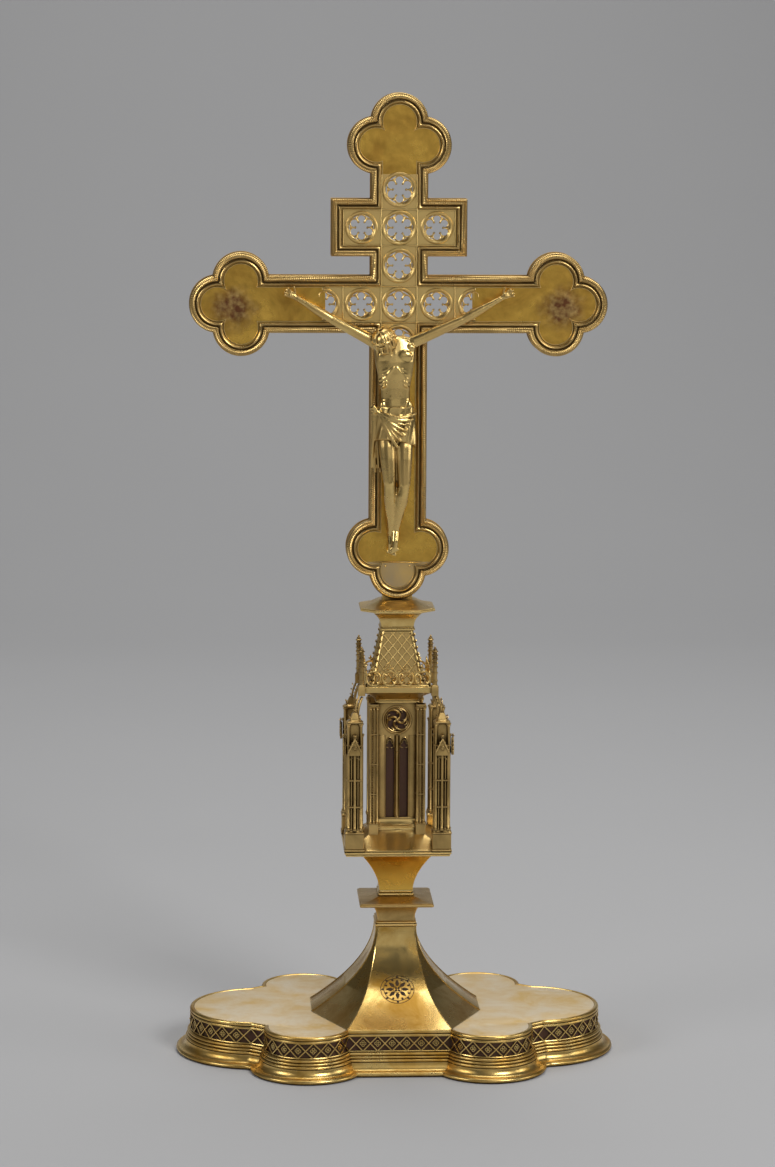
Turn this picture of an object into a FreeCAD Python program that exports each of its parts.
import FreeCAD, Part
import math
import os

# Processional cross of gilt metal on a lobed foot, built as its maker would stack it.
# Millimetres. The origin is the centre of the underside of the foot, +Z is up and the
# front, with the corpus, faces -Y.

# ---- foot, in plan ------------------------------------------------------------------
FLAT_DEPTH = 66.0            # centre to the straight front and back of the foot's top
CORNER_LOBE_X = 60.5         # centres of the four corner lobes
CORNER_LOBE_Y = 54.5
CORNER_LOBE_R = 29.0
SIDE_LOBE_X = 93.5           # centres of the two side lobes
SIDE_LOBE_R = 45.5
FACET_TURN = 35.5            # degrees that a short corner facet is turned from the front
FACET_STEP = 6.0             # how far a facet stands outside the meeting of its two lobes
FLANGE_SPREAD = 9.5          # the flange beyond the foot's top
LEDGE_WIDTH = 10.0           # the flange's ledge, inwards from the foot's top

# ---- foot, in height ----------------------------------------------------------------
FLANGE_LEDGE = 2.0
FLANGE_EDGE = 2.4
FLANGE_H = 8.6
FLANGE_NECK_H = 2.8            # the flange's steeper upper slope
FLANGE_NECK_GROW = 5.4         # outlines of that slope's foot and top, beyond the foot's top
FLANGE_TOP_GROW = 3.4
MOULDING_H = 6.4
MOULDING_GROWS = (1.8, 0.4, 1.4)   # the moulding's three upper steps, from the lowest
BAND_H = 12.0
FOOT_TOP_T = 3.0
FOOT_CHAMFER = 1.2
BAND_T = 1.2                 # openwork band round the foot
WALL_T = 1.6                 # plain wall behind the band
DIAMOND_PITCH = 10.4
DIAMOND_HALF = 4.1           # half a diagonal of one diamond opening

# ---- stem ---------------------------------------------------------------------------
STEM_H = 57.0
STEM_WALL = 2.0
STEM_TOP_HALF = 13.5         # half of the stem's width under its collar
STEM_TOP_FACE = 11.5         # half of the width of one of its faces there
STEM_FOOT_DEPTH = 65.0       # where the front and back faces meet the foot
STEM_FOOT_WIDTH = 57.0       # where the side faces meet the foot
STEM_FOOT_FACE = 34.5        # half of the front face there
STEM_FOOT_SIDE = 17.0        # half of a side face there
STEM_EVEN = 0.45             # share of the front face's spread that grows evenly
STEM_LEVELS = [0, 0.15, 0.3, 0.45, 0.6, 0.7, 0.8, 0.87, 0.94, 1]
STEM_RING_BEVEL = 1.0
NECK_POWER = 2.2             # how late the neck spreads
STEM_RING_HALF = 14.25
STEM_RING_H = 4.0
NECK_H = 11.8
NECK_LOW_HALF = 12.5
NECK_TOP_HALF = 15.5
KNOB_HALF = 25.0             # the square plate between the stem and the knop
KNOB_RIM_H = 2.1
KNOB_HIP_H = 3.1

# ---- rod that holds the stack together -----------------------------------------------
ROD_R = 4.0
ROD_HEAD_R = 7.0
ROD_HEAD_H = 3.5
ROD_GAP = 0.4                # running clearance round the rod
WASHER_R = 17.0
WASHER_T = 2.5
NUT_FLATS = 14.0
NUT_H = 6.0
ROD_END = 3.0                # rod showing below the nut

# ---- knop -----------------------------------------------------------------------------
FUNNEL_RING_HALF = 12.25
FUNNEL_RING_H = 4.0
FUNNEL_LOW_HALF = 11.25
FUNNEL_TOP_HALF = 25.0
FUNNEL_H = 28.3
FUNNEL_WALL = 2.0
FUNNEL_FLOOR = 3.0
FUNNEL_POWER = 1.7
BASE_HALF = 35.8
BASE_T = 3.2
TABLE_H = 18.0               # sloped water table from the base plate to the window sills
TABLE_STEP_HALF = 16.0
TABLE_STEP_H = 1.6
TABLE_STEP_SHARE = 0.68      # height of the step as a share of the water table
TABLE_EDGE_H = 1.0
TABLE_INSET = 1.2            # water table inside the edge of the base plate
TABLE_POWER = 1.6
TOWER_HALF = 13.0            # half of the windowed tower's width
TOWER_WALL = 2.2
TOWER_H = 79.0
LINING_T = 0.8               # dark sheet behind the windows
LANCET_W = 6.2
LANCET_H = 56.0
LANCET_SPRING = 0.9          # springing below the point, in widths of the lancet
LANCET_FLANK_X = 0.7         # a point on its arch: across, in half widths
LANCET_FLANK_Z = 0.5         # and above the springing, in widths
MULLION_W = 3.6
ROSE_R = 9.6
ROSE_LOBE_R = 3.6
ROSE_EDGE = 0.8
PILASTER_W = 6.5
PIER_W = 12.4
PIER_PLINTH_W = 13.6
PIER_PLINTH_H = 14.5
PIER_DROP = 17.0             # pier shoulders below the cornice
PIER_CAP_H = 7.0
PIER_CAP_W = 4.0
PIER_NOTCH = 2.2
GABLET_W = 8.0
GABLET_H = 10.0
GABLET_T = 1.6
GABLET_DROP = 12.0           # gablet tops below the pier's shoulder
GABLET_EAVES = 0.75          # eaves below the top as a share of the height
FLYER_T = 3.0
FLYER_DROP = 6.0             # foot of a flying buttress below its pier's shoulder
FLYER_DEPTH = 5.0
CORNICE_HALF = 22.75
CORNICE_H = 4.4
CORNICE_COVE_H = 8.2
CORNICE_POWER = 1.5
CORNICE_LIP = 1.0            # the slab beyond the hollow under it
CORNICE_LIP_H = 0.4
SEAT_INSET = 0.5             # piers and pilasters inside the edges they stand against
PINNACLE_W = 3.8
PINNACLE_H = 33.0
PINNACLE_OUT = 1.65          # pinnacle centres beyond the sides of the cornice
PINNACLE_BASE = 1.0          # pinnacle bases below the cornice slab
PINNACLE_SHAFT = 0.8         # shaft as a share of the pinnacle's height
PINNACLE_SWELL = 0.7         # half widths of the spire in widths of the shaft
PINNACLE_TIP = 0.3
PINNACLE_SWELL_H = 1.5
PINNACLE_POINT_H = 1.0
PINNACLE_POINT_HALF = 0.4
CREST_T = 1.6
CREST_H = 14.5
CREST_HOLE_R = 4.3
CREST_COUNT = 4
CREST_INSET = 0.8
CREST_PEAK_HALF = 2.0
CREST_PEAK_SINK = 0.5
ROOF_LOW_HALF = 17.2
ROOF_TOP_HALF = 9.75
ROOF_H = 36.0
ROOF_WALL = 1.5
CROCKETS_PER_HIP = 8
CROCKET_SIZE = 2.4
CROCKET_OUT = 0.5
CROCKET_FIRST = 0.9          # first crocket and spare room, in steps between two
CROCKET_SPARE = 0.8
ROOF_RING_HALF = 11.75
ROOF_RING_H = 3.0
TOP_NECK_H = 10.6
TOP_NECK_LOW_HALF = 11.25
TOP_NECK_TOP_HALF = 16.0
TOP_NECK_POWER = 2.0
TOP_PLATE_HALF = 25.0
TOP_PLATE_FACE = 14.75       # half of one straight side of its chamfered square
TOP_PLATE_RIM = 2.0
TOP_PLATE_HIP = 4.6
TOP_PLATE_FLAT = 12.0        # half of the flat on which the cross stands

# ---- cross ----------------------------------------------------------------------------
BAR_HALF = 19.0
CROSS_H = 335.4
MAIN_REACH = 104.2           # centres of the side trefoils
MAIN_DROP = 138.7            # main bar below the top of the cross
SHORT_DROP = 88.2            # short bar below the top of the cross
SHORT_REACH = 44.9
LOBE_OUT = 15.3              # lobe centres from the centre of a trefoil
CROSS_T = 16.0
FRAME_W = 7.0
FRAME_BASE_T = 2.0
FRAME_RIDGE_T = 1.0
FRAME_RIDGE_INSET = 1.4
SIDE_WALL_INSET = 0.8
SIDE_WALL_T = 1.5
PLATE_T = 1.4
BACK_T = 1.5
PLATE_GAP = 0.1
ARM_PLATE_FROM = 48.6        # where the plain plates of the main bar begin
GRILLE_LOW = 36.0            # grille below the main bar's centre
PATCH_H = 25.0               # lower patch plate above the foot of the cross
ROUNDEL_GAP = 0.4            # between a roundel and the frame beside it
ROUNDEL_SPACE = 1.7          # between two roundels
ROUNDEL_RING_W = 2.2
ROUNDEL_RIM_T = 0.8
ROUNDEL_RIM_W = 1.6
ROUNDEL_LESS = 0.8           # the roundels beside the shaft are this much smaller
FOIL_COUNT = 6
FOIL_SHARE = 0.25            # radius of one foil in radii of its roundel
FOIL_EDGE = 0.6              # between a foil and the ring
FOIL_OVERLAP = 0.6           # middle hole into the foils, in radii of a foil
TANG_W = 9.0
TANG_T = 5.0
TANG_BELOW = 46.0
TANG_ABOVE = 60.0
TANG_GAP = 0.3
SOCKET_WALL = 1.8
SOCKET_FLOOR = 2.0
BRACKET_HALF = 10.0
BRACKET_T = 10.0
BRACKET_H = 7.0
SEAT_GAP = 0.4               # the rounded end of the cross above the plate it stands on

# ---- corpus ---------------------------------------------------------------------------
PALM_X = 71.0
PALM_RISE = 6.5              # palms above the main bar's centre
CORPUS_GAP = 0.3
# Places on the figure: across, below the main bar's centre, and in front of the frame.
# Trunk sections add half of their width and half of their depth.
TRUNK = [(-2.0, 96, 5.0, 11.4, 6.0), (-2.0, 84, 5.2, 13.0, 6.8), (-2.2, 70, 6.2, 11.2, 6.2),
         (-2.6, 55, 6.6, 10.2, 5.8), (-3.0, 40, 7.2, 12.4, 7.4), (-3.0, 28, 6.4, 13.6, 6.4),
         (-3.0, 19, 4.8, 9.0, 4.2)]
HEAD = (-10.0, 25.5, 10.0)
HEAD_R = 9.0
LEFT_SHOULDER = (-15.5, 25, 5.0)
RIGHT_SHOULDER = (9.8, 24, 5.0)
LEFT_ELBOW = (-44.5, 9.5, 5.0)
RIGHT_ELBOW = (42.0, 9.5, 5.0)
LEFT_HIP = (-8.6, 86, 5.5)
RIGHT_HIP = (3.2, 86, 5.5)
LEFT_KNEE = (-6.4, 118, 9.0)
RIGHT_KNEE = (3.4, 118, 9.0)
LEFT_ANKLE = (-4.4, 156, 3.6)
RIGHT_ANKLE = (-1.4, 154, 4.6)
HEEL = (-3.0, 154, 4.0)
TOE = (-3.0, 168, 3.6)
CLOTH_KNOT = (-15.6, 68, 5.4)
CLOTH_END = (-15.8, 112, 3.4)
SHOULDER_R = 4.8
ELBOW_R = 3.2
WRIST_R = 2.0
PALM_R = 3.4
HIP_R = 6.6
KNEE_R = 4.6
ANKLE_R = 2.9
TOE_R = 3.3
KNOT_R = 3.8
CLOTH_R = 2.6
FOOT_NAIL_X = -3.0
FOOT_NAIL_DROP = 158.0
NAIL_R = 0.8
NAIL_HEAD_R = 1.6
NAIL_HEAD_T = 1.0

# ---- levels worked out from the sizes above ------------------------------------------
Z_MOULDING = FLANGE_H
Z_BAND = Z_MOULDING + MOULDING_H
Z_FOOT_PLATE = Z_BAND + BAND_H
Z_FOOT = Z_FOOT_PLATE + FOOT_TOP_T
Z_STEM = Z_FOOT + STEM_H
Z_NECK = Z_STEM + STEM_RING_H
Z_KNOB = Z_NECK + NECK_H
Z_KNOP = Z_KNOB + KNOB_RIM_H + KNOB_HIP_H
Z_FUNNEL = Z_KNOP + FUNNEL_RING_H
Z_BASE = Z_FUNNEL + FUNNEL_H
Z_TABLE = Z_BASE + BASE_T
Z_TOWER = Z_TABLE + TABLE_H
Z_COVE = Z_TOWER + TOWER_H
Z_CORNICE = Z_COVE + CORNICE_COVE_H
Z_CREST = Z_CORNICE + CORNICE_H
Z_ROOF_TOP = Z_CREST + ROOF_H
Z_TOP_NECK = Z_ROOF_TOP + ROOF_RING_H
Z_TOP_PLATE = Z_TOP_NECK + TOP_NECK_H
Z_SEAT = Z_TOP_PLATE + TOP_PLATE_RIM + TOP_PLATE_HIP
Z_CROSS = Z_SEAT + SEAT_GAP
Z_CROSS_TOP = Z_CROSS + CROSS_H
Z_MAIN = Z_CROSS_TOP - MAIN_DROP
Z_SHORT = Z_CROSS_TOP - SHORT_DROP
Z_HIGH_TREFOIL = Z_CROSS_TOP - BAR_HALF - LOBE_OUT
Z_LOW_TREFOIL = Z_CROSS + BAR_HALF + LOBE_OUT
PIER_AT = BASE_HALF - SEAT_INSET - PIER_W / 2
PILASTER_AT = TOWER_HALF - SEAT_INSET + PILASTER_W / 2
Z_PIER_TOP = Z_CORNICE - PIER_DROP
PINNACLE_AT = CORNICE_HALF + PINNACLE_OUT
CROSS_FRONT = -CROSS_T / 2
PLATE_FRONT = CROSS_FRONT + FRAME_BASE_T + FRAME_RIDGE_T
PLATE_BACK = PLATE_FRONT + PLATE_T
BACK_FRONT = CROSS_T / 2 - BACK_T
ROUNDEL_R = BAR_HALF - FRAME_W - ROUNDEL_GAP
ROUNDEL_HOLE_R = ROUNDEL_R - ROUNDEL_RING_W
ROUNDEL_STEP = 2 * ROUNDEL_R + ROUNDEL_SPACE
SHORT_ROUNDEL_R = ROUNDEL_R - ROUNDEL_LESS
FOIL_R = ROUNDEL_R * FOIL_SHARE
FOIL_AT = ROUNDEL_HOLE_R - FOIL_R - FOIL_EDGE
BIG = 400.0                  # longer than any piece, for cutting blocks

os.makedirs("parts", exist_ok=True)


def vec(x, y, z):
    return FreeCAD.Vector(x, y, z)


def block(x0, x1, y0, y1, z0, z1):
    """A box between two corners."""
    return Part.makeBox(x1 - x0, y1 - y0, z1 - z0, vec(x0, y0, z0))


def post(x, y, width, z0, z1):
    """A square post centred on a point."""
    half = width / 2
    return block(x - half, x + half, y - half, y + half, z0, z1)


def save(name, shape):
    """Write one node, as it stands in the assembly."""
    shape.exportStep("parts/" + name + ".step")


def fused(shapes):
    """One clean solid from shapes that overlap."""
    first = shapes[0]
    if len(shapes) == 1:
        return first
    return first.fuse(shapes[1:]).removeSplitter()


def group(shapes):
    """Separate solids of one kind in one node."""
    return Part.makeCompound(shapes)


def polygon(points):
    """A closed wire through points."""
    return Part.makePolygon([vec(*p) for p in points + points[:1]])


def square_wire(half, z):
    return polygon([(-half, -half, z), (half, -half, z), (half, half, z), (-half, half, z)])


def eight_wire(depth, face, width, side, z):
    """Eight sides: front and back at depth, the sides at width, and slanted corners."""
    return polygon([(-face, -depth, z), (face, -depth, z), (width, -side, z), (width, side, z),
                    (face, depth, z), (-face, depth, z), (-width, side, z), (-width, -side, z)])


def lofted(wires, straight=True):
    return Part.makeLoft(wires, True, straight)


def square_stack(levels):
    """A solid through squares given as (half, z)."""
    return lofted([square_wire(half, z) for half, z in levels])


def rod_bore(z0, z1):
    """The clearance hole of the rod."""
    return Part.makeCylinder(ROD_R + ROD_GAP, z1 - z0, vec(0, 0, z0))


def cove(low_half, top_half, z0, z1, power, steps=6):
    """(half, z) levels of a curve that spreads ever faster on its way up."""
    levels = []
    for i in range(steps + 1):
        share = i / steps
        levels.append((low_half + (top_half - low_half) * share ** power, z0 + (z1 - z0) * share))
    return levels


# ---- foot -----------------------------------------------------------------------------
def facet_normal():
    turn = math.radians(FACET_TURN)
    return math.sin(turn), math.cos(turn)


def facet_offset():
    """Distance of a corner facet's line from the middle of the foot."""
    gap = math.hypot(SIDE_LOBE_X - CORNER_LOBE_X, CORNER_LOBE_Y)
    along = (CORNER_LOBE_R ** 2 - SIDE_LOBE_R ** 2 + gap ** 2) / (2 * gap)
    across = math.sqrt(CORNER_LOBE_R ** 2 - along ** 2)
    ux = (SIDE_LOBE_X - CORNER_LOBE_X) / gap
    uy = -CORNER_LOBE_Y / gap
    meet_x = CORNER_LOBE_X + along * ux - across * uy
    meet_y = CORNER_LOBE_Y + along * uy + across * ux
    nx, ny = facet_normal()
    return meet_x * nx + meet_y * ny + FACET_STEP


def foot_corners(grow):
    """Where straight, lobe, facet and side lobe meet in one quarter, grown by a distance."""
    nx, ny = facet_normal()
    corner_r = CORNER_LOBE_R + grow
    side_r = SIDE_LOBE_R + grow
    rise = FLAT_DEPTH + grow - CORNER_LOBE_Y
    start = (CORNER_LOBE_X - math.sqrt(corner_r ** 2 - rise ** 2), FLAT_DEPTH + grow)
    line = facet_offset() + grow
    reach = line - (CORNER_LOBE_X * nx + CORNER_LOBE_Y * ny)
    chord = math.sqrt(corner_r ** 2 - reach ** 2)
    middle = (CORNER_LOBE_X + reach * nx + chord * ny, CORNER_LOBE_Y + reach * ny - chord * nx)
    reach = line - SIDE_LOBE_X * nx
    chord = math.sqrt(side_r ** 2 - reach ** 2)
    end = (SIDE_LOBE_X + reach * nx - chord * ny, reach * ny + chord * nx)
    return start, middle, end


def corner_arc_top(grow, start, middle):
    """The point halfway round a corner lobe, square to the chord between its ends."""
    dx = middle[0] - start[0]
    dy = middle[1] - start[1]
    scale = (CORNER_LOBE_R + grow) / math.hypot(dx, dy)
    return CORNER_LOBE_X - dy * scale, CORNER_LOBE_Y + dx * scale


def foot_wire(grow, z):
    """The closed outline of the foot, grown outwards by a distance."""
    start, middle, end = foot_corners(grow)
    top = corner_arc_top(grow, start, middle)
    side = SIDE_LOBE_X + SIDE_LOBE_R + grow
    edges = []

    def line(a, b):
        edges.append(Part.makeLine(vec(a[0], a[1], z), vec(b[0], b[1], z)))

    def arc(a, b, c):
        edges.append(Part.Arc(vec(a[0], a[1], z), vec(b[0], b[1], z), vec(c[0], c[1], z)).toShape())

    def at(point, sx, sy):
        return point[0] * sx, point[1] * sy

    line(at(start, -1, -1), at(start, 1, -1))
    arc(at(start, 1, -1), at(top, 1, -1), at(middle, 1, -1))
    line(at(middle, 1, -1), at(end, 1, -1))
    arc(at(end, 1, -1), (side, 0), at(end, 1, 1))
    line(at(end, 1, 1), at(middle, 1, 1))
    arc(at(middle, 1, 1), at(top, 1, 1), at(start, 1, 1))
    line(at(start, 1, 1), at(start, -1, 1))
    arc(at(start, -1, 1), at(top, -1, 1), at(middle, -1, 1))
    line(at(middle, -1, 1), at(end, -1, 1))
    arc(at(end, -1, 1), (-side, 0), at(end, -1, -1))
    line(at(end, -1, -1), at(middle, -1, -1))
    arc(at(middle, -1, -1), at(top, -1, -1), at(start, -1, -1))
    return Part.Wire(edges)


def foot_layer(grow0, z0, grow1, z1):
    """A slice of the foot between two outlines."""
    return lofted([foot_wire(grow0, z0), foot_wire(grow1, z1)])


def foot_slab(grow, z0, z1):
    return Part.Face(foot_wire(grow, z0)).extrude(vec(0, 0, z1 - z0))


def diamond(x, y, angle, z):
    """A square prism on its point, across the wall at (x, y) that faces angle."""
    size = DIAMOND_HALF
    wire = polygon([(-BAND_T * 3, -size, 0), (-BAND_T * 3, 0, size),
                    (-BAND_T * 3, size, 0), (-BAND_T * 3, 0, -size)])
    shape = Part.Face(wire).extrude(vec(BAND_T * 5, 0, 0))
    shape.rotate(vec(0, 0, 0), vec(0, 0, 1), angle)
    shape.translate(vec(x, y, z))
    return shape


def diamonds():
    """The openings of the band, spread evenly along each straight, lobe and facet."""
    start, middle, end = foot_corners(0)
    z = Z_BAND + BAND_H / 2
    shapes = []
    count = int(2 * start[0] / DIAMOND_PITCH)
    for sy in (-1, 1):
        for i in range(count):
            x = (i - (count - 1) / 2) * DIAMOND_PITCH
            shapes.append(diamond(x, sy * FLAT_DEPTH, 90 * sy, z))
    first = math.degrees(math.atan2(start[1] - CORNER_LOBE_Y, start[0] - CORNER_LOBE_X))
    last = math.degrees(math.atan2(middle[1] - CORNER_LOBE_Y, middle[0] - CORNER_LOBE_X))
    count = int(math.radians(first - last) * CORNER_LOBE_R / DIAMOND_PITCH)
    for i in range(count):
        angle = last + (first - last) * (i + 0.5) / count
        dx = CORNER_LOBE_X + CORNER_LOBE_R * math.cos(math.radians(angle))
        dy = CORNER_LOBE_Y + CORNER_LOBE_R * math.sin(math.radians(angle))
        shapes.append(diamond(dx, dy, angle, z))
        shapes.append(diamond(-dx, dy, 180 - angle, z))
        shapes.append(diamond(dx, -dy, -angle, z))
        shapes.append(diamond(-dx, -dy, 180 + angle, z))
    reach = math.degrees(math.atan2(end[1], end[0] - SIDE_LOBE_X))
    count = int(math.radians(2 * reach) * SIDE_LOBE_R / DIAMOND_PITCH)
    for i in range(count):
        angle = -reach + 2 * reach * (i + 0.5) / count
        dx = SIDE_LOBE_X + SIDE_LOBE_R * math.cos(math.radians(angle))
        dy = SIDE_LOBE_R * math.sin(math.radians(angle))
        shapes.append(diamond(dx, dy, angle, z))
        shapes.append(diamond(-dx, dy, 180 - angle, z))
    return shapes


def make_foot():
    plate = fused([foot_slab(0, Z_FOOT_PLATE, Z_FOOT - FOOT_CHAMFER),
                   foot_layer(0, Z_FOOT - FOOT_CHAMFER, -FOOT_CHAMFER, Z_FOOT)])
    save("foot_top_plate", plate.cut(rod_bore(Z_FOOT_PLATE, Z_FOOT)))

    band = foot_slab(0, Z_BAND, Z_FOOT_PLATE).cut(foot_slab(-BAND_T, Z_BAND, Z_FOOT_PLATE))
    save("foot_lattice_band", band.cut(diamonds()))

    inner = -BAND_T - WALL_T
    wall = foot_slab(-BAND_T, FLANGE_LEDGE, Z_FOOT_PLATE)
    save("foot_wall", wall.cut(foot_slab(inner, FLANGE_LEDGE, Z_FOOT_PLATE)))

    step = MOULDING_H / 4
    low, middle, high = MOULDING_GROWS
    moulding = fused([foot_slab(high, Z_BAND - step, Z_BAND),
                      foot_slab(middle, Z_BAND - 2 * step, Z_BAND - step),
                      foot_slab(low, Z_BAND - 3 * step, Z_BAND - 2 * step),
                      foot_layer(FLANGE_TOP_GROW, Z_MOULDING, low, Z_BAND - 3 * step)])
    save("foot_moulding", moulding.cut(foot_slab(-BAND_T, Z_MOULDING, Z_BAND)))

    neck = FLANGE_H - FLANGE_NECK_H
    flange = fused([foot_slab(FLANGE_SPREAD, 0, FLANGE_EDGE),
                    foot_layer(FLANGE_SPREAD, FLANGE_EDGE, FLANGE_NECK_GROW, neck),
                    foot_layer(FLANGE_NECK_GROW, neck, FLANGE_TOP_GROW, FLANGE_H)])
    flange = flange.cut([foot_slab(-BAND_T, FLANGE_LEDGE, FLANGE_H),
                         foot_slab(-LEDGE_WIDTH, 0, FLANGE_LEDGE)])
    save("foot_flange", flange)


# ---- stem -----------------------------------------------------------------------------
def stem_wire(share, wall=0.0):
    """The stem's section, share 0 under the collar and 1 on the foot."""
    square = share ** 2
    depth = STEM_TOP_HALF + (STEM_FOOT_DEPTH - STEM_TOP_HALF) * square - wall
    width = STEM_TOP_HALF + (STEM_FOOT_WIDTH - STEM_TOP_HALF) * square - wall
    spread = STEM_FOOT_FACE - STEM_TOP_FACE
    face = STEM_TOP_FACE + spread * (STEM_EVEN * share + (1 - STEM_EVEN) * square ** 2) - wall / 2
    side = STEM_TOP_FACE + (STEM_FOOT_SIDE - STEM_TOP_FACE) * share - wall / 2
    return eight_wire(depth, face, width, side, Z_STEM - STEM_H * share)


def make_stem():
    outer = lofted([stem_wire(share) for share in STEM_LEVELS])
    hollow = lofted([stem_wire(share, STEM_WALL) for share in STEM_LEVELS])
    save("stem_spire", outer.cut(hollow))

    ring = square_stack([(STEM_RING_HALF - STEM_RING_BEVEL, Z_STEM),
                         (STEM_RING_HALF, Z_STEM + STEM_RING_H / 3),
                         (STEM_RING_HALF, Z_STEM + STEM_RING_H * 2 / 3),
                         (STEM_RING_HALF - STEM_RING_BEVEL, Z_NECK)])
    save("stem_ring", ring.cut(rod_bore(Z_STEM, Z_NECK)))

    neck = square_stack(cove(NECK_LOW_HALF, NECK_TOP_HALF, Z_NECK, Z_KNOB, NECK_POWER))
    save("stem_neck", neck.cut(rod_bore(Z_NECK, Z_KNOB)))

    knob = square_stack([(KNOB_HALF, Z_KNOB), (KNOB_HALF, Z_KNOB + KNOB_RIM_H),
                         (FUNNEL_RING_HALF, Z_KNOP)])
    save("lower_plate", knob.cut(rod_bore(Z_KNOB, Z_KNOP)))

    washer_low = Z_FOOT_PLATE - WASHER_T
    nut_low = washer_low - NUT_H
    rod_top = Z_TABLE
    rod = fused([Part.makeCylinder(ROD_R, rod_top - nut_low + ROD_END, vec(0, 0, nut_low - ROD_END)),
                 Part.makeCylinder(ROD_HEAD_R, ROD_HEAD_H, vec(0, 0, rod_top))])
    save("tie_rod", rod)
    washer = Part.makeCylinder(WASHER_R, WASHER_T, vec(0, 0, washer_low))
    save("rod_washer", washer.cut(rod_bore(washer_low, Z_FOOT_PLATE)))
    corner = NUT_FLATS / math.sqrt(3)
    points = []
    for i in range(6):
        angle = math.radians(60 * i)
        points.append((corner * math.cos(angle), corner * math.sin(angle), nut_low))
    nut = Part.Face(polygon(points)).extrude(vec(0, 0, NUT_H))
    save("rod_nut", nut.cut(Part.makeCylinder(ROD_R, NUT_H, vec(0, 0, nut_low))))


# ---- knop -----------------------------------------------------------------------------
CORNERS = [("front_left", -1, -1), ("front_right", 1, -1),
           ("back_right", 1, 1), ("back_left", -1, 1)]
SIDES = [("front", 0), ("right", 90), ("back", 180), ("left", 270)]


def turned(shape, angle):
    """A copy turned about the upright axis, from the front to another side."""
    copy = shape.copy()
    copy.rotate(vec(0, 0, 0), vec(0, 0, 1), angle)
    return copy


def lancet(x, z0, height, width, y0, y1):
    """A pointed window opening, as a solid to cut with."""
    half = width / 2
    spring = z0 + height - width * LANCET_SPRING
    flank_x = half * LANCET_FLANK_X
    flank_z = spring + width * LANCET_FLANK_Z
    arc_left = Part.Arc(vec(x - half, y0, spring), vec(x - flank_x, y0, flank_z),
                        vec(x, y0, z0 + height)).toShape()
    arc_right = Part.Arc(vec(x, y0, z0 + height), vec(x + flank_x, y0, flank_z),
                         vec(x + half, y0, spring)).toShape()
    edges = [arc_left, arc_right,
             Part.makeLine(vec(x + half, y0, spring), vec(x + half, y0, z0)),
             Part.makeLine(vec(x + half, y0, z0), vec(x - half, y0, z0)),
             Part.makeLine(vec(x - half, y0, z0), vec(x - half, y0, spring))]
    return Part.Face(Part.Wire(edges)).extrude(vec(0, y1 - y0, 0))


def across(x, z, radius, y0, y1):
    """A cylinder along Y."""
    return Part.makeCylinder(radius, y1 - y0, vec(x, y0, z), vec(0, 1, 0))


def window_panel(half):
    """The front wall of the tower with two lancets and a rose of four lobes."""
    y0 = -TOWER_HALF
    y1 = y0 + TOWER_WALL
    panel = block(-half, half, y0, y1, Z_TOWER, Z_COVE)
    cuts = []
    offset = (LANCET_W + MULLION_W) / 2
    for x in (-offset, offset):
        cuts.append(lancet(x, Z_TOWER, LANCET_H, LANCET_W, y0 - 1, y1 + 1))
    rose_z = Z_TOWER + LANCET_H + (TOWER_H - LANCET_H) / 2
    lobe_at = ROSE_R - ROSE_LOBE_R - ROSE_EDGE
    for i in range(4):
        angle = math.radians(45 + 90 * i)
        cuts.append(across(lobe_at * math.cos(angle), rose_z + lobe_at * math.sin(angle),
                           ROSE_LOBE_R, y0 - 1, y1 + 1))
    return panel.cut(cuts)


def pier(sx, sy):
    """An outer corner buttress: plinth, notched shaft and sloped cap."""
    x = sx * PIER_AT
    y = sy * PIER_AT
    shaft = post(x, y, PIER_W, Z_TABLE, Z_PIER_TOP)
    notch_z = Z_TABLE + PIER_PLINTH_H
    notches = []
    half = PIER_W / 2
    for nx in (-1, 1):
        for ny in (-1, 1):
            notches.append(post(x + nx * half, y + ny * half, PIER_NOTCH * 2, notch_z, Z_PIER_TOP))
    shaft = shaft.cut(notches)
    centre = PIER_AT + PIER_W / 2 - PIER_PLINTH_W / 2
    plinth = post(sx * centre, sy * centre, PIER_PLINTH_W, Z_TABLE, notch_z)
    cap = square_stack([(half - PIER_NOTCH, Z_PIER_TOP),
                        (PIER_CAP_W / 2, Z_PIER_TOP + PIER_CAP_H)])
    cap.translate(vec(x, y, 0))
    return fused([shaft, plinth, cap])


def pilaster(sx, sy):
    x = sx * PILASTER_AT
    y = sy * PILASTER_AT
    tower = post(0, 0, TOWER_HALF * 2, Z_TABLE, Z_COVE)
    return post(x, y, PILASTER_W, Z_TABLE, Z_COVE).cut(tower)


def flyer(sx, sy, neighbours):
    """A sloped strut from a pier up to the corner of the cornice, in the diagonal plane."""
    low = Z_PIER_TOP - FLYER_DROP
    high = Z_CORNICE - PINNACLE_BASE
    inner = PINNACLE_AT - PINNACLE_W / 2
    outer = PINNACLE_AT + PINNACLE_W / 2
    heel = PIER_AT - PIER_W / 2 + PIER_NOTCH
    profile = [(PIER_AT, low), (PIER_AT, Z_PIER_TOP + FLYER_T), (outer, high), (inner, high),
               (inner, high - FLYER_DEPTH), (heel, low)]
    root = math.sqrt(2)
    wire = polygon([(s * root, -FLYER_T / 2, z) for s, z in profile])
    strut = Part.Face(wire).extrude(vec(0, FLYER_T, 0))
    strut.rotate(vec(0, 0, 0), vec(0, 0, 1), math.degrees(math.atan2(sy, sx)))
    return strut.cut(neighbours)


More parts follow.
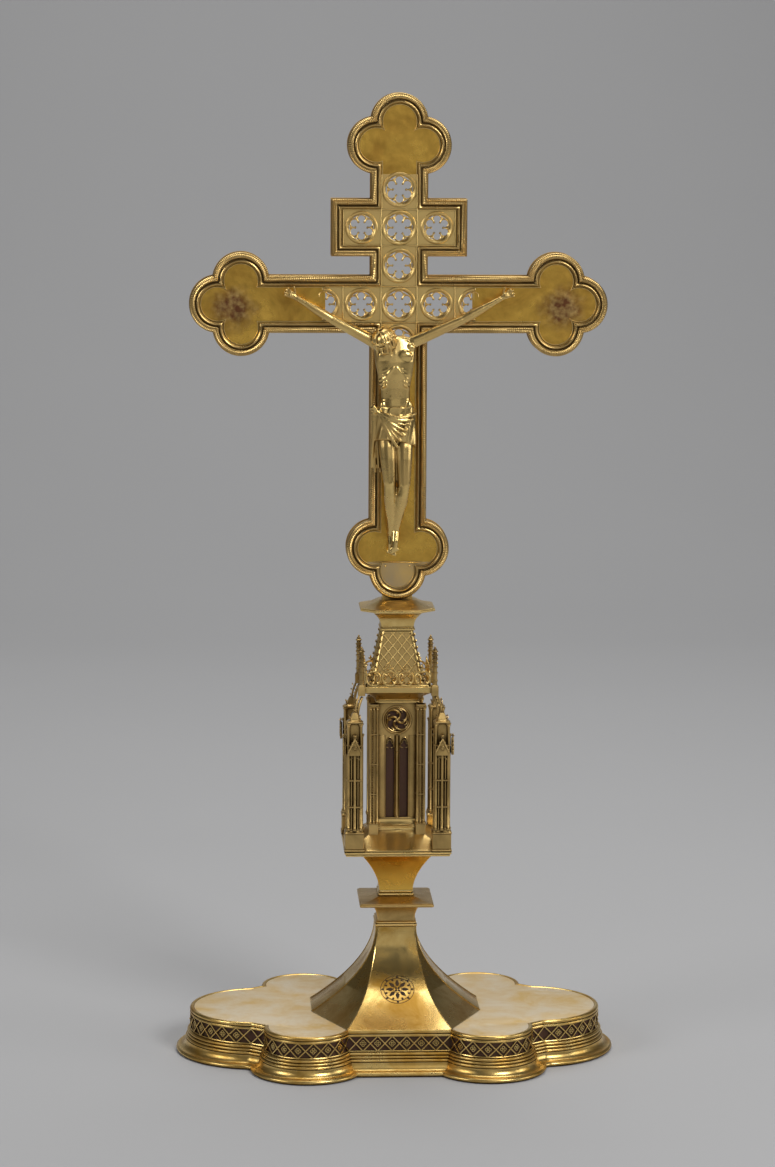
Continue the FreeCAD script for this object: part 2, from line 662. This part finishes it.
def gablet(sx, sy, on_front):
    """A small gable on an outer face of a pier."""
    top = Z_PIER_TOP - GABLET_DROP
    face = PIER_AT + PIER_W / 2
    half = GABLET_W / 2
    points = [(-half, face, top - GABLET_H), (half, face, top - GABLET_H),
              (half, face, top - GABLET_H * GABLET_EAVES), (0, face, top),
              (-half, face, top - GABLET_H * GABLET_EAVES)]
    shape = Part.Face(polygon(points)).extrude(vec(0, GABLET_T, 0))
    shape.translate(vec(PIER_AT, 0, 0))
    if sy < 0:
        shape = shape.mirror(vec(0, 0, 0), vec(0, 1, 0))
    if sx < 0:
        shape = shape.mirror(vec(0, 0, 0), vec(1, 0, 0))
    if not on_front:
        shape.rotate(vec(0, 0, 0), vec(0, 0, 1), 90 if sx * sy < 0 else -90)
    return shape


def pinnacle(sx, sy):
    x = sx * PINNACLE_AT
    y = sy * PINNACLE_AT
    low = Z_CORNICE - PINNACLE_BASE
    top = low + PINNACLE_H
    shaft_top = low + PINNACLE_H * PINNACLE_SHAFT
    shaft = post(x, y, PINNACLE_W, low, shaft_top)
    spire = square_stack([(PINNACLE_W / 2, shaft_top),
                          (PINNACLE_W * PINNACLE_SWELL, shaft_top + PINNACLE_SWELL_H),
                          (PINNACLE_W * PINNACLE_TIP, top - PINNACLE_POINT_H),
                          (PINNACLE_POINT_HALF, top)])
    spire.translate(vec(x, y, 0))
    return fused([shaft, spire])


def cresting(half):
    """The front run of pierced cresting above the cornice."""
    y0 = -CORNICE_HALF + CREST_INSET
    pitch = 2 * (CORNICE_HALF - CREST_INSET) / CREST_COUNT
    eaves = Z_CREST + pitch - CREST_PEAK_SINK
    rail = block(-half, half, y0, y0 + CREST_T, Z_CREST, Z_CREST + pitch)
    cuts = []
    peaks = []
    for i in range(CREST_COUNT):
        x = (i - (CREST_COUNT - 1) / 2) * pitch
        cuts.append(across(x, Z_CREST + pitch / 2, CREST_HOLE_R, y0 - 1, y0 + CREST_T + 1))
        if abs(x) + CREST_PEAK_HALF < half:
            wire = polygon([(x - CREST_PEAK_HALF, y0, eaves), (x + CREST_PEAK_HALF, y0, eaves),
                            (x, y0, Z_CREST + CREST_H)])
            peaks.append(Part.Face(wire).extrude(vec(0, CREST_T, 0)))
    return fused([rail] + peaks).cut(cuts)


def crocket(sx, sy, share, roof):
    half = ROOF_LOW_HALF + (ROOF_TOP_HALF - ROOF_LOW_HALF) * share
    z = Z_CREST + ROOF_H * share
    knob = Part.makeBox(CROCKET_SIZE, CROCKET_SIZE, CROCKET_SIZE)
    knob.translate(vec(-CROCKET_SIZE / 2, -CROCKET_SIZE / 2, -CROCKET_SIZE / 2))
    knob.translate(vec(sx * (half + CROCKET_OUT), sy * (half + CROCKET_OUT), z))
    return knob.cut(roof)


def make_knop():
    ring = square_stack([(FUNNEL_RING_HALF, Z_KNOP), (FUNNEL_RING_HALF, Z_FUNNEL)])
    save("funnel_ring", ring.cut(rod_bore(Z_KNOP, Z_FUNNEL)))
    levels = cove(FUNNEL_LOW_HALF, FUNNEL_TOP_HALF, Z_FUNNEL, Z_BASE, FUNNEL_POWER)
    floor = Z_FUNNEL + FUNNEL_FLOOR
    funnel = square_stack(levels)
    hollow = square_stack([(half - FUNNEL_WALL, z) for half, z in levels if z > floor])
    save("knop_funnel", funnel.cut([hollow, rod_bore(Z_FUNNEL, Z_BASE)]))
    base = post(0, 0, BASE_HALF * 2, Z_BASE, Z_TABLE)
    save("knop_base_plate", base.cut(rod_bore(Z_BASE, Z_TABLE)))

    piers = []
    pilasters = []
    for name, sx, sy in CORNERS:
        piers.append(pier(sx, sy))
        save(name + "_buttress", piers[-1])
        pilasters.append(pilaster(sx, sy))
        save(name + "_pilaster", pilasters[-1])

    low = BASE_HALF - TABLE_INSET
    step = Z_TABLE + TABLE_H * TABLE_STEP_SHARE
    slope = cove(TABLE_STEP_HALF, low, step, Z_TABLE + TABLE_EDGE_H, TABLE_POWER)
    levels = [(low, Z_TABLE)] + slope[::-1]
    levels += [(TABLE_STEP_HALF, step + TABLE_STEP_H), (TOWER_HALF, Z_TOWER)]
    hollow = post(0, 0, (TOWER_HALF - TOWER_WALL) * 2, Z_TABLE, Z_TOWER)
    save("water_table", square_stack(levels).cut([hollow] + piers + pilasters))

    wide = window_panel(TOWER_HALF)
    narrow = window_panel(TOWER_HALF - TOWER_WALL)
    for name, angle in SIDES:
        save("window_" + name, turned(wide if angle in (0, 180) else narrow, angle))

    clear = TOWER_HALF - TOWER_WALL
    lining = post(0, 0, 2 * clear, Z_TABLE, Z_COVE)
    save("tower_lining", lining.cut(post(0, 0, 2 * (clear - LINING_T), Z_TABLE, Z_COVE)))

    crown = square_stack(cove(TOWER_HALF, CORNICE_HALF - CORNICE_LIP, Z_COVE, Z_CORNICE, CORNICE_POWER)
                         + [(CORNICE_HALF, Z_CORNICE + CORNICE_LIP_H), (CORNICE_HALF, Z_CREST)])
    opening = post(0, 0, (TOWER_HALF - TOWER_WALL) * 2, Z_COVE, Z_CREST)
    pinnacles = []
    for name, sx, sy in CORNERS:
        pinnacles.append(pinnacle(sx, sy))
        save(name + "_pinnacle", pinnacles[-1])
    crown = crown.cut([opening] + pinnacles)
    flyers = []
    for i, (name, sx, sy) in enumerate(CORNERS):
        flyers.append(flyer(sx, sy, [piers[i], pilasters[i], pinnacles[i], crown]))
    save("flying_buttresses", group(flyers))
    save("cornice", crown)
    gablets = []
    for name, sx, sy in CORNERS:
        gablets.append(gablet(sx, sy, True))
        gablets.append(gablet(sx, sy, False))
    save("gablets", group(gablets))

    long_run = cresting(CORNICE_HALF - CREST_INSET).cut(pinnacles)
    short_run = cresting(CORNICE_HALF - CREST_INSET - CREST_T)
    for name, angle in SIDES:
        run = long_run if angle in (0, 180) else short_run
        save("cresting_" + name, turned(run, angle).cut(pinnacles))

    outer = square_stack([(ROOF_LOW_HALF, Z_CREST), (ROOF_TOP_HALF, Z_ROOF_TOP)])
    inner = square_stack([(ROOF_LOW_HALF - ROOF_WALL, Z_CREST), (ROOF_TOP_HALF - ROOF_WALL, Z_ROOF_TOP)])
    save("roof", outer.cut(inner))
    crockets = []
    for name, sx, sy in CORNERS:
        for i in range(CROCKETS_PER_HIP):
            share = (i + CROCKET_FIRST) / (CROCKETS_PER_HIP + CROCKET_SPARE)
            crockets.append(crocket(sx, sy, share, outer))
    save("crockets", group(crockets))

    wall = 2 * (SOCKET_WALL + TANG_GAP)
    socket_low = Z_SEAT - TANG_BELOW - TANG_GAP - SOCKET_FLOOR
    half_x = (TANG_W + wall) / 2
    half_y = (TANG_T + wall) / 2
    socket = block(-half_x, half_x, -half_y, half_y, socket_low, Z_SEAT)
    hole_x = TANG_W / 2 + TANG_GAP
    hole_y = TANG_T / 2 + TANG_GAP
    hole = block(-hole_x, hole_x, -hole_y, hole_y, socket_low + SOCKET_FLOOR, Z_SEAT)
    save("tang_socket", socket.cut(hole))
    ring = square_stack([(ROOF_RING_HALF, Z_ROOF_TOP), (ROOF_RING_HALF, Z_TOP_NECK)])
    save("roof_ring", ring.cut(socket))
    neck = square_stack(cove(TOP_NECK_LOW_HALF, TOP_NECK_TOP_HALF, Z_TOP_NECK, Z_TOP_PLATE, TOP_NECK_POWER))
    save("upper_neck", neck.cut(socket))
    rim = Z_TOP_PLATE + TOP_PLATE_RIM
    half = TOP_PLATE_HALF
    face = TOP_PLATE_FACE
    flat = TOP_PLATE_FLAT
    small = flat * face / half
    plate = lofted([eight_wire(half, face, half, face, Z_TOP_PLATE),
                    eight_wire(half, face, half, face, rim),
                    eight_wire(flat, small, flat, small, Z_SEAT)])
    save("top_plate", plate.cut(socket))


# ---- cross ----------------------------------------------------------------------------
def trefoil(x, z, out_x, out_z, radius, y0, y1):
    """Three lobes round a filled centre, one of them pointing outwards."""
    return [across(x, z, radius, y0, y1),
            across(x + out_x * LOBE_OUT, z + out_z * LOBE_OUT, radius, y0, y1),
            across(x + out_z * LOBE_OUT, z + out_x * LOBE_OUT, radius, y0, y1),
            across(x - out_z * LOBE_OUT, z - out_x * LOBE_OUT, radius, y0, y1)]


def cross_blank(inset, y0, y1):
    """The whole outline of the double-barred cross, drawn in by a distance."""
    half = BAR_HALF - inset
    shapes = [block(-half, half, y0, y1, Z_LOW_TREFOIL, Z_HIGH_TREFOIL),
              block(-MAIN_REACH, MAIN_REACH, y0, y1, Z_MAIN - half, Z_MAIN + half),
              block(-SHORT_REACH + inset, SHORT_REACH - inset, y0, y1,
                    Z_SHORT - half, Z_SHORT + half)]
    shapes += trefoil(0, Z_HIGH_TREFOIL, 0, 1, half, y0, y1)
    shapes += trefoil(0, Z_LOW_TREFOIL, 0, -1, half, y0, y1)
    shapes += trefoil(MAIN_REACH, Z_MAIN, 1, 0, half, y0, y1)
    shapes += trefoil(-MAIN_REACH, Z_MAIN, -1, 0, half, y0, y1)
    return fused(shapes)


def roundels():
    """Centres and radii of the pierced roundels, as (x, z, radius). The arm plates cut off the last two."""
    places = [(0, Z_SHORT + i * ROUNDEL_STEP, ROUNDEL_R) for i in (1, 0, -1)]
    places += [(0, Z_MAIN, ROUNDEL_R), (0, Z_MAIN - ROUNDEL_STEP, ROUNDEL_R)]
    for x in (-ROUNDEL_STEP, ROUNDEL_STEP):
        places.append((x, Z_SHORT, SHORT_ROUNDEL_R))
        places.append((x, Z_MAIN, SHORT_ROUNDEL_R))
        places.append((2 * x, Z_MAIN, SHORT_ROUNDEL_R))
    return places


def foils(x, z, radius):
    """The opening of one roundel: lobes round a middle hole."""
    scale = radius / ROUNDEL_R
    middle_r = (FOIL_AT - FOIL_R * FOIL_OVERLAP) * scale
    cuts = [across(x, z, middle_r, PLATE_FRONT - 2, PLATE_BACK + 1)]
    for i in range(FOIL_COUNT):
        angle = 2 * math.pi * i / FOIL_COUNT
        cuts.append(across(x + FOIL_AT * scale * math.cos(angle), z + FOIL_AT * scale * math.sin(angle),
                           FOIL_R * scale, PLATE_FRONT - 2, PLATE_BACK + 1))
    return cuts


def ball(x, y, z, radius):
    return Part.makeSphere(radius, vec(x, y, z))


def limb(a, b, radius_a, radius_b):
    """A tapered limb between two points."""
    axis = vec(*b) - vec(*a)
    if radius_a == radius_b:
        return Part.makeCylinder(radius_a, axis.Length, vec(*a), axis)
    return Part.makeCone(radius_a, radius_b, axis.Length, vec(*a), axis)


def oval(x, y, z, half_x, half_y):
    wire = Part.Ellipse(vec(0, 0, 0), half_x, half_y).toShape()
    wire.translate(vec(x, y, z))
    return Part.Wire([wire])


def spot(x, drop, depth):
    """A place on the figure: across, below the main bar's centre, in front of the frame."""
    return x, CROSS_FRONT - depth, Z_MAIN - drop


def make_corpus():
    """The plain mass of the figure: trunk, head, limbs and cloth, clear of the frame."""
    sections = []
    for x, drop, depth, half_x, half_y in TRUNK:
        centre = spot(x, drop, depth)
        sections.append(oval(*centre, half_x, half_y))
    pieces = [Part.makeLoft(sections, True, False), ball(*spot(*HEAD), HEAD_R)]
    for side, shoulder, elbow in ((-1, LEFT_SHOULDER, LEFT_ELBOW), (1, RIGHT_SHOULDER, RIGHT_ELBOW)):
        start = spot(*shoulder)
        bend = spot(*elbow)
        palm = spot(side * PALM_X, -PALM_RISE, PALM_R)
        pieces += [ball(*start, SHOULDER_R), limb(start, bend, SHOULDER_R, ELBOW_R),
                   ball(*bend, ELBOW_R), limb(bend, palm, ELBOW_R, WRIST_R), ball(*palm, PALM_R)]
    for hip, knee, ankle in ((LEFT_HIP, LEFT_KNEE, LEFT_ANKLE), (RIGHT_HIP, RIGHT_KNEE, RIGHT_ANKLE)):
        top = spot(*hip)
        middle = spot(*knee)
        low = spot(*ankle)
        pieces += [ball(*top, HIP_R), limb(top, middle, HIP_R, KNEE_R), ball(*middle, KNEE_R),
                   limb(middle, low, KNEE_R, ANKLE_R), ball(*low, ANKLE_R)]
    heel = spot(*HEEL)
    toe = spot(*TOE)
    knot = spot(*CLOTH_KNOT)
    pieces += [limb(heel, toe, TOE_R, TOE_R), ball(*heel, TOE_R), ball(*toe, TOE_R)]
    pieces += [ball(*knot, KNOT_R), limb(knot, spot(*CLOTH_END), CLOTH_R, CLOTH_R)]
    body = pieces[0].fuse(pieces[1:])
    back = CROSS_FRONT - CORPUS_GAP
    return body.cut(block(-BIG, BIG, back, BIG, 0, 2 * BIG))


def nail(x, z, head_y):
    """A nail through the figure into the plate behind it."""
    shank = across(x, z, NAIL_R, head_y, PLATE_BACK)
    head = across(x, z, NAIL_HEAD_R, head_y - NAIL_HEAD_T, head_y)
    return fused([shank, head])


def make_cross():
    ridge_y = CROSS_FRONT + FRAME_RIDGE_T
    wide = cross_blank(0, ridge_y, PLATE_FRONT)
    base = wide.cut(cross_blank(FRAME_W, ridge_y, PLATE_FRONT))
    ridge = cross_blank(FRAME_RIDGE_INSET, CROSS_FRONT, ridge_y)
    ridge = ridge.cut(cross_blank(FRAME_W - FRAME_RIDGE_INSET, CROSS_FRONT, ridge_y))
    save("cross_frame", fused([base, ridge]))

    tang_top = Z_CROSS + TANG_ABOVE
    tang = block(-TANG_W / 2, TANG_W / 2, -TANG_T / 2, TANG_T / 2, Z_SEAT - TANG_BELOW, tang_top)
    save("cross_tang", tang)

    inner_inset = SIDE_WALL_INSET + SIDE_WALL_T
    wall = cross_blank(SIDE_WALL_INSET, PLATE_FRONT, BACK_FRONT)
    wall = wall.cut(cross_blank(inner_inset, PLATE_FRONT, BACK_FRONT)).cut(tang)
    save("cross_side_wall", wall)

    holes = [across(x, z, ROUNDEL_HOLE_R * r / ROUNDEL_R, BACK_FRONT - 1, BACK_FRONT + BACK_T + 1)
             for x, z, r in roundels()]
    save("cross_back_plate", cross_blank(0, BACK_FRONT, CROSS_T / 2).cut(holes))

    bracket = block(-BRACKET_HALF, BRACKET_HALF, -BRACKET_T / 2, BRACKET_T / 2,
                    Z_SEAT, Z_SEAT + BRACKET_H)
    bracket = bracket.cut([cross_blank(0, CROSS_FRONT, CROSS_T / 2), tang])
    save("cross_bracket", bracket)

    field = cross_blank(inner_inset + PLATE_GAP, PLATE_FRONT, PLATE_BACK)
    grille_low = Z_MAIN - GRILLE_LOW
    grille_high = Z_HIGH_TREFOIL - BAR_HALF
    patch_top = Z_CROSS + PATCH_H
    rim_front = PLATE_FRONT - ROUNDEL_RIM_T
    centre = block(-ARM_PLATE_FROM, ARM_PLATE_FROM, rim_front, PLATE_BACK, grille_low, grille_high)
    palm_front = CROSS_FRONT - 2 * PALM_R
    nails = [nail(-PALM_X, Z_MAIN + PALM_RISE, palm_front), nail(PALM_X, Z_MAIN + PALM_RISE, palm_front)]
    foot_nail = nail(FOOT_NAIL_X, Z_MAIN - FOOT_NAIL_DROP, CROSS_FRONT - HEEL[2] - TOE_R)
    bars = field.common(centre)
    rims = []
    cuts = []
    for x, z, radius in roundels():
        rim = across(x, z, radius, rim_front, PLATE_FRONT)
        rim = rim.cut(across(x, z, radius - ROUNDEL_RIM_W, rim_front, PLATE_FRONT))
        if abs(x) + radius > ARM_PLATE_FROM:
            rim = rim.common(centre)
        rims.append(rim)
        cuts += foils(x, z, radius)
    save("tracery_grille", bars.fuse(rims).cut(cuts))

    save("top_trefoil_plate", field.common(block(-BIG, BIG, PLATE_FRONT, PLATE_BACK, grille_high, 2 * BIG)))
    arm = block(-BIG, -ARM_PLATE_FROM, PLATE_FRONT, PLATE_BACK, grille_low, grille_high)
    save("left_arm_plate", field.common(arm).cut(nails))
    arm = block(ARM_PLATE_FROM, BIG, PLATE_FRONT, PLATE_BACK, grille_low, grille_high)
    save("right_arm_plate", field.common(arm).cut(nails))
    shaft = field.common(block(-BIG, BIG, PLATE_FRONT, PLATE_BACK, patch_top, grille_low))
    save("shaft_plate", shaft.cut(foot_nail))
    save("lower_patch_plate", field.common(block(-BIG, BIG, PLATE_FRONT, PLATE_BACK, 0, patch_top)))

    save("corpus", make_corpus().cut(nails + [foot_nail]))
    save("hand_nails", group(nails))
    save("foot_nail", foot_nail)


make_foot()
make_stem()
make_knop()
make_cross()
